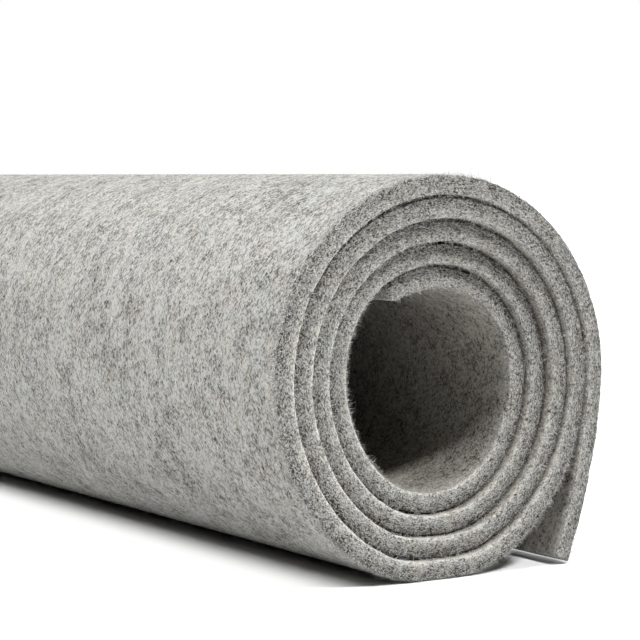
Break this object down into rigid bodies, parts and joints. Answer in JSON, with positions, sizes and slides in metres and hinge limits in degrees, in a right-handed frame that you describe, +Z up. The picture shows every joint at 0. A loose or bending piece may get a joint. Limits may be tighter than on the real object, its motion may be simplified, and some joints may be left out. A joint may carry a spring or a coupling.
{
  "type": "roll of felt",
  "caption": "Cut length of thick light grey marled wool felt, wound into a horizontal roll with an open core and a loose outer flap that hangs beside it.",
  "frame": {"origin": "middle of the bounding box, on the surface that the roll lies on", "axes": "+Y along the roll's axis, away from the end that shows in the picture; +X towards the side with the loose flap; +Z up"},
  "size_m": [0.0994, 0.5064, 0.1],
  "materials": {
    "felt": "matte marled wool felt with short loose surface fibres"
  },
  "bodies": {
    "root": {"felt_roll": "felt"}
  },
  "joints": []
}
